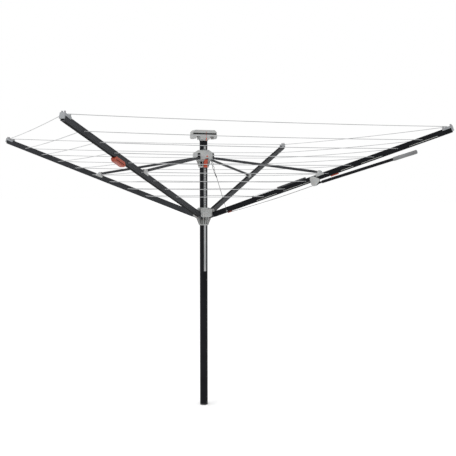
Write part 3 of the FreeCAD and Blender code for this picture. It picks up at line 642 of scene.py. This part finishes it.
# %% Painted highlight in the groove of arm 1
HIGHLIGHT_SPANS = [(0.335, 0.475), (0.520, 0.700), (0.905, 0.985), (1.035, 1.165), (1.330, 1.500)]
highlight_bars = []
for begin, stop in HIGHLIGHT_SPANS:
    ends = [on_arm(1, along, -ARM_HALF_WIDE, -0.0105) for along in (begin, stop)]
    highlight_bars.append(bar(*ends, (0, 1, 0), 0.0014, 0.0022, 0.0003))
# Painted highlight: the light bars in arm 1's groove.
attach(new_piece("groove_highlight_bars", *gather(highlight_bars), "liner_plastic"), "arm_1")
print("runner lengths:", len(highlight_bars))

# %% [markdown]
# The tensioner under arm 4 has a long groove in each side, which reads as a dark line between two ridges. A
# black bar of painted shade lies on the groove's floor, as deep as the groove allows.

# %% Painted shade in the tensioner's grooves
GROOVE_SIDE = 0.0112
GROOVE_BELOW = 0.0265
GROOVE_SPAN = (1.013, 1.093)
groove_shade_bars = []
for side in (-1, 1):
    ends = [on_arm(4, along, side * GROOVE_SIDE, -GROOVE_BELOW) for along in GROOVE_SPAN]
    groove_shade_bars.append(bar(*ends, around(4, (0, 1, 0)), 0.0005, 0.0038, 0.0001))
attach(new_piece("tensioner_groove_shade_bars", *gather(groove_shade_bars), "insert_black", smooth=False), "arm_4")

# %% [markdown]
# The lower hub's block has upright fins all round, moulded to stiffen it. They are round-nosed, so they are
# swept tubes sunk about halfway into the block. Their heights come from the boxes of the parts around them.

# %% Fins round the lower hub
block_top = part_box("lower_hub_plate")[0][2]
block_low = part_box("arm_foot_1")[0][2] + 0.014
BLOCK_RADIUS = 0.066
FIN_SUNK = 0.0008
FIN_RADIUS = 0.0032
FIN_BEARINGS = (20, 32.5, 45, 57.5, 70)
fin_heights = (block_low, block_low + 0.001, block_top - 0.003, block_top - 0.002)
fins = []
for quarter in range(4):
    for turn in FIN_BEARINGS:
        bearing = quarter * QUARTER + math.radians(turn)
        out = Vector((math.cos(bearing), math.sin(bearing), 0)) * (BLOCK_RADIUS - FIN_SUNK)
        path = [out + Vector((0, 0, z)) for z in fin_heights]
        fins.append(sweep(path, FIN_RADIUS, sides=12))
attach(new_piece("lower_hub_fins", *gather(fins), "pale_plastic"), "lower_hub")
print("lower hub block from", round(block_low, 4), "to", round(block_top, 4))

# %% [markdown]
# The four slots of the upper hub are deep and in shade inside. A thin dark lining of painted shade at the
# back, the sides and the roof of each gives that depth, and leaves the strut's tongue free to swing.

# %% Painted shade linings in the upper hub's slots
SLOT_BACK = 0.0504
SLOT_MIDDLE = 0.0592
SLOT_SIDE = 0.0097
SLOT_LOW, SLOT_HIGH, SLOT_ROOF = 1.5935, 1.6312, 1.6316
BACK_WIDE, SIDE_WIDE = 0.0195, 0.0172
SLOT_SHADE_THICK = 0.0005
SLOT_SHADE_BARS = [
    ((SLOT_BACK, 0, SLOT_LOW), (SLOT_BACK, 0, SLOT_HIGH), (0, 1, 0), BACK_WIDE),
    ((SLOT_MIDDLE, SLOT_SIDE, SLOT_LOW), (SLOT_MIDDLE, SLOT_SIDE, SLOT_HIGH), (1, 0, 0), SIDE_WIDE),
    ((SLOT_MIDDLE, -SLOT_SIDE, SLOT_LOW), (SLOT_MIDDLE, -SLOT_SIDE, SLOT_HIGH), (1, 0, 0), SIDE_WIDE),
    ((0.0505, 0, SLOT_ROOF), (0.0680, 0, SLOT_ROOF), (0, 1, 0), BACK_WIDE),
]
slot_shade_bars = []
for number in range(1, 5):
    for start, end, across, wide in SLOT_SHADE_BARS:
        ends = [around(number, point) for point in (start, end)]
        slot_shade_bars.append(bar(*ends, around(number, across), wide, SLOT_SHADE_THICK, 0.0001))
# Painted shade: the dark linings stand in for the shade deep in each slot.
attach(new_piece("upper_hub_slot_shade_bars", *gather(slot_shade_bars), "dark_plastic", smooth=False), "upper_hub")
print("linings:", len(slot_shade_bars))

# %% [markdown]
# ## The head
#
# The head's lid stands on a set-back neck, and the gap between lid and body lies in shade. So do the
# pockets under the two ends. Thin dark bars of painted shade on the neck and in the pockets' roofs give both.


# %% Painted shade in the head's gap and pockets
def on_head(x, y, z):
    """A place given in the head's own frame, whose long side lies on the diagonal."""
    return Matrix.Rotation(math.radians(45), 4, "Z") @ Vector((x, y, z))


LONG_SIDE = on_head(1, 0, 0)
SHORT_SIDE = on_head(0, 1, 0)
GAP_LOW, GAP_HIGH = 1.7512, 1.7598
NECK_SIDE = 0.0274
NECK_HALF = 0.0795
POCKET_OUT, POCKET_HALF, POCKET_ROOF, POCKET_WIDE = 0.046, 0.034, 1.7377, 0.0235
gap = []
for side in (-1, 1):
    ends = [on_head(x, side * NECK_SIDE, (GAP_LOW + GAP_HIGH) / 2) for x in (-NECK_HALF, NECK_HALF)]
    gap.append(bar(*ends, (0, 0, 1), GAP_HIGH - GAP_LOW, 0.001))
    ends = [on_head(side * POCKET_OUT, y, POCKET_ROOF) for y in (-POCKET_HALF, POCKET_HALF)]
    gap.append(bar(*ends, LONG_SIDE, POCKET_WIDE, 0.0006, 0.0001))
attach(new_piece("head_gap_painted_shade", *gather(gap), "insert_black", smooth=False), "pole")
print("dark bars in the head:", len(gap))

# %% [markdown]
# A column of small orange drops stands on the head's near face, and one more on the upper hub over the
# release lever. A drop is drawn as a closed outline, raised a little and drawn in twice, so that its top
# is slightly domed.


# %% Drop-shaped marks
def drop_mark(centre, outward, size, steps=24):
    """Points and faces of a raised drop that stands on a face."""
    up = Vector((0, 0, 1))
    right = up.cross(outward).normalized()
    rim = []
    for step in range(steps):
        t = 2 * math.pi * step / steps
        rim.append(right * size * 0.85 * math.sin(t) * math.sin(t / 2) + up * size * math.cos(t))
    vertices = [centre + spot for spot in rim]
    vertices += [centre + spot * 0.92 + outward * 0.0009 for spot in rim]
    vertices += [centre + spot * 0.5 + outward * 0.0014 for spot in rim]
    faces = []
    for level in (0, steps):
        for step in range(steps):
            after = (step + 1) % steps
            faces.append((level + step, level + after, level + steps + after, level + steps + step))
    faces.append(tuple(range(2 * steps, 3 * steps)))
    faces.append(tuple(reversed(range(steps))))
    return vertices, faces


HEAD_DROPS = [(1.7645, 0.0036), (1.7455, 0.0062), (1.7275, 0.0058), (1.7165, 0.0045)]
DROP_ALONG = 0.0065
HEAD_HALF_WIDE = 0.035
marks = []
for height, size in HEAD_DROPS:
    marks.append(drop_mark(on_head(DROP_ALONG, -HEAD_HALF_WIDE, height), -SHORT_SIDE, size))
head_marks = new_piece("head_drops", *gather(marks), "orange_plastic")
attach(head_marks, "pole")
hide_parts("head_marks")

hub_out = Vector((math.cos(-math.pi / 4), math.sin(-math.pi / 4), 0))
HUB_DROP_OUT, HUB_DROP_HIGH, HUB_DROP_SIZE = 0.0686, 1.6145, 0.0088
hub_drop_at = hub_out * HUB_DROP_OUT + Vector((0, 0, HUB_DROP_HIGH))
hub_drop = drop_mark(hub_drop_at, hub_out, HUB_DROP_SIZE)
hub_mark = new_piece("hub_drop", *hub_drop, "orange_plastic")
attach(hub_mark, "upper_hub")
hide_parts("upper_hub_mark")
print("drops:", len(marks) + 1)

# %% [markdown]
# ## The pull rope
#
# From the upper hub a doubled cord hangs, twisted round itself, into a dark clamped ferrule. One cord runs
# on down to the pale eyelet on arm 1 and from there under the arm to the lever. Two strands wound half a
# turn apart make the twist. The twist and the ferrule stay with the hub as the dryer folds.

# %% Twisted loop and ferrule
HOOK = Vector((0.062, -0.016, 1.5915))
FERRULE_TOP = Vector((0.086, -0.0155, 1.506))
FERRULE_END = Vector((0.099, -0.015, 1.478))
ROPE_RADIUS = 0.0015
GUIDE = on_arm(1, 0.122, -0.0135, -0.0075)


def twisted_strand(start, end, turns, reach, offset, steps=72):
    """A strand wound round the straight way between two points."""
    along = (end - start).normalized()
    across = along.orthogonal().normalized()
    points = []
    for step in range(steps + 1):
        share = step / steps
        swell = reach * (0.45 + 0.55 * math.sin(math.pi * (0.12 + 0.88 * share)))
        angle = 2 * math.pi * turns * share + offset
        outward = Quaternion(along, angle) @ across
        points.append(start.lerp(end, share) + outward * swell)
    return points


TWISTS = 1.75
TWIST_REACH = 0.0055
strands = []
for offset in (0.0, math.pi):
    strand = twisted_strand(HOOK, FERRULE_TOP, TWISTS, TWIST_REACH, offset)
    strands.append(sweep(strand, ROPE_RADIUS))
loop = new_piece("rope_twisted_loop", *gather(strands), "rope_cord")
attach(loop, "upper_hub")
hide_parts("pull_rope_drop")
print("twisted loop length:", round((FERRULE_TOP - HOOK).length, 3), "m")

# %% [markdown]
# The ferrule, the grip and the hubs' sleeves are round, so they are turned as on a lathe: a profile goes
# once round an axis. One helper turns round any way between two points and closes both ends, and the other
# turns a closed outline round the pole and leaves the middle open.


# %% Turned shapes
def turned(name, profile, start, end, slot, steps=28):
    """A lathe shape: (share along the axis, radius) pairs turned round the way from start to end."""
    along = end - start
    across = along.normalized().orthogonal().normalized()
    vertices, faces = [], []
    for share, radius in profile:
        for step in range(steps):
            outward = Quaternion(along.normalized(), 2 * math.pi * step / steps) @ across
            vertices.append(start + along * share + outward * radius)
    for level in range(len(profile) - 1):
        for step in range(steps):
            a = level * steps + step
            b = level * steps + (step + 1) % steps
            faces.append((a, b, b + steps, a + steps))
    faces.append(tuple(reversed(range(steps))))
    last = (len(profile) - 1) * steps
    faces.append(tuple(range(last, last + steps)))
    return new_piece(name, vertices, faces, slot)


def hollow_turned(name, profile, slot, steps=48):
    """A closed outline of (radius, height) pairs turned round the pole."""
    vertices, faces = [], []
    for step in range(steps):
        angle = 2 * math.pi * step / steps
        vertices += [(r * math.cos(angle), r * math.sin(angle), z) for r, z in profile]
    count = len(profile)
    for step in range(steps):
        after = (step + 1) % steps
        for spot in range(count):
            beyond = (spot + 1) % count
            here, there = step * count, after * count
            faces.append((here + spot, there + spot, there + beyond, here + beyond))
    return new_piece(name, vertices, faces, slot)


FERRULE_PROFILE = [
    (0.0, 0.0026), (0.04, 0.0036), (0.25, 0.0038), (0.3, 0.0029), (0.4, 0.0029), (0.45, 0.0038),
    (0.6, 0.0038), (0.65, 0.0029), (0.75, 0.0029), (0.8, 0.0036), (0.97, 0.003), (1.0, 0.0018),
]
ferrule = turned("rope_ferrule", FERRULE_PROFILE, FERRULE_TOP, FERRULE_END, "dark_plastic")
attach(ferrule, "upper_hub")
print("ferrule length:", round((FERRULE_END - FERRULE_TOP).length, 3), "m")

# %% [markdown]
# ## Between the fins
#
# Both hubs end in a skirt of fins round a thin core. The core stands in shadow, so a darker sleeve over it
# paints that shade and makes the fins stand out. The upper hub's sleeve is nearly black and the lower one's
# is mid grey.

# %% Painted shade sleeves behind the skirt fins
FINISHES["core_painted_shade"] = moulded("core_painted_shade_moulded", (0.085, 0.087, 0.083), (0.12, 0.122, 0.118))


def sleeve(name, radius, low, high, slot, body):
    """A thin sleeve of painted shade round a hub's core."""
    wall = 0.0005
    outline = [(radius, low), (radius, high), (radius - wall, high), (radius - wall, low)]
    piece = hollow_turned(name, outline, slot)
    dress(piece, slot)
    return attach(piece, body)


# Painted shade: near-black on the upper core, mid grey on the lower.
sleeve("upper_core_painted_shade", 0.0306, 1.5525, 1.5795, "insert_black", "upper_hub")
sleeve("lower_core_painted_shade", 0.0310, 1.1775, 1.2205, "core_painted_shade", "lower_hub")

# %% [markdown]
# Below the ferrule the cord is single, and it ends on the eyelet, which has a body of its own. The cord is
# drawn straight between the two and is tied to neither body, so it stays where it is as the dryer folds.
# The real cord pays out from the lever's drum instead.

# %% Single cord down to the eyelet
CORD_STEPS = 24
drop_points = [FERRULE_END.lerp(GUIDE, step / CORD_STEPS) for step in range(CORD_STEPS + 1)]
drop = new_piece("rope_single_cord", *sweep(drop_points, ROPE_RADIUS, sides=10), "rope_cord")
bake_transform(drop)
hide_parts("pull_rope_drop")
print("single cord length:", round((GUIDE - FERRULE_END).length, 3), "m")

# %% [markdown]
# From the eyelet the cord turns under arm 1 and runs along it to the lever, with a little sag. Both of its
# ends are on the arm, so it rides on the arm whole.

# %% Run under arm 1 to the lever
RUN_SAG = 0.006
run_ends = [
    on_arm(1, 0.1225, -0.015, -0.0095),
    on_arm(1, 0.127, -0.015, -0.0215),
    on_arm(1, 0.712, -0.015, -0.040),
]
run_points = [run_ends[0]]
for step in range(CORD_STEPS + 1):
    share = step / CORD_STEPS
    sag = RUN_SAG * 4 * share * (1 - share)
    run_points.append(run_ends[1].lerp(run_ends[2], share) - Vector((0, 0, sag)))
run = new_piece("rope_under_arm", *sweep(run_points, ROPE_RADIUS, sides=10), "rope_cord")
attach(run, "arm_1")
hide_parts("pull_rope_run")
print("cord under arm 1:", round((run_ends[2] - run_ends[1]).length, 3), "m")

# %% [markdown]
# ## The lever's grip
#
# The grip is a soft pale sleeve pushed over the lever's end. Shallow rings near both ends stop the hand from
# slipping, and the end is domed. A lathe profile gives all of that in one closed shape.

# %% Turned grip
LEVER_ROOT = on_arm(1, 0.7415, -0.018, -0.036)
LEVER_SLOPE = ARM_SLOPE - math.radians(1.8)
LEVER_WAY = Vector((math.cos(LEVER_SLOPE), 0, math.sin(LEVER_SLOPE)))
LEVER_REACH = 0.624
GRIP_LONG = 0.143
GROOVE_PITCH = 0.035
HALF_GROOVE = 0.008
grip_end = LEVER_ROOT + LEVER_WAY * LEVER_REACH
grip_start = grip_end - LEVER_WAY * GRIP_LONG
profile = [(0.0, 0.0092), (0.006, 0.0108), (0.02, 0.0116)]
for groove in range(5):
    middle = 0.06 + groove * GROOVE_PITCH
    profile += [(middle - HALF_GROOVE, 0.0117), (middle, 0.0109), (middle + HALF_GROOVE, 0.0117)]
profile += [(0.26, 0.0119), (0.55, 0.0115), (0.76, 0.0118)]
for groove in range(4):
    middle = 0.80 + groove * GROOVE_PITCH
    profile += [(middle - HALF_GROOVE, 0.0119), (middle, 0.0110), (middle + HALF_GROOVE, 0.0119)]
profile += [(0.955, 0.0118), (0.98, 0.0108), (0.994, 0.0082), (1.0, 0.004)]
FINISHES["grip"] = moulded(
    "soft_grey_grip", (0.125, 0.128, 0.131), (0.162, 0.166, 0.17), gloss=(0.5, 0.65))
grip = turned("lever_grip_sleeve", profile, grip_start, grip_end, "pale_plastic")
dress(grip, "grip")
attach(grip, "pull_lever")
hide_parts("lever_grip")
print("points on the grip profile:", len(profile))

# %% [markdown]
# ## Floor and light
#
# A plain pale floor and large soft lamps keep the shape readable from every side. The world gives an even
# white fill, and a very wide sun leaves only a soft shadow on the floor. One big lamp from the upper left
# models the round tubes, and a weaker one from the right keeps the dark coat from closing up.

# %% Floor
floor_mesh = bpy.data.meshes.new("floor")
FLOOR_HALF = 60.0
floor_corners = [(x * FLOOR_HALF, y * FLOOR_HALF, 0) for x, y in ((-1, -1), (1, -1), (1, 1), (-1, 1))]
floor_mesh.from_pydata(floor_corners, [], [(0, 1, 2, 3)])
floor = bpy.data.objects.new("floor", floor_mesh)
bpy.context.scene.collection.objects.link(floor)
floor_finish, tree, shader, place = start_finish("pale_floor", 0.95)
tree.links.new(
    two_tones(tree, noise(tree, place, 0.8), (0.86, 0.86, 0.86), (0.88, 0.88, 0.88)),
    shader.inputs["Base Color"],
)
shader.inputs["Specular IOR Level"].default_value = 0.0
floor_mesh.materials.append(floor_finish)

# %% World and lamps
world = bpy.data.worlds.new("studio")
bpy.context.scene.world = world
world.use_nodes = True
world.node_tree.nodes["Background"].inputs["Color"].default_value = (1, 1, 1, 1)
world.node_tree.nodes["Background"].inputs["Strength"].default_value = 1.0


def aim(item, place_at, target):
    """Put a lamp in the scene and turn it to a target."""
    bpy.context.scene.collection.objects.link(item)
    item.location = place_at
    item.rotation_mode = "QUATERNION"
    item.rotation_quaternion = (Vector(target) - Vector(place_at)).to_track_quat("-Z", "Y")
    return item


def lamp(name, place_at, target, size, power):
    """A square soft lamp that faces a target."""
    data = bpy.data.lights.new(name, "AREA")
    data.size = size
    data.energy = power
    return aim(bpy.data.objects.new(name, data), place_at, target)


sky = bpy.data.lights.new("wide_soft_light", "SUN")
sky.energy = 0.9
sky.angle = math.radians(70)
aim(bpy.data.objects.new("wide_soft_light", sky), (-2.0, -3.0, 6.0), (0, 0, 0))
lamp("key_lamp", (-2.5, -5.5, 4.5), (0, 0, 1.3), 3.0, 60)
lamp("side_lamp", (5.0, -1.5, 3.0), (0, 0, 1.3), 2.5, 30)
print("lights:", len(bpy.data.lights))
bpy.context.scene.view_settings.view_transform = "Standard"
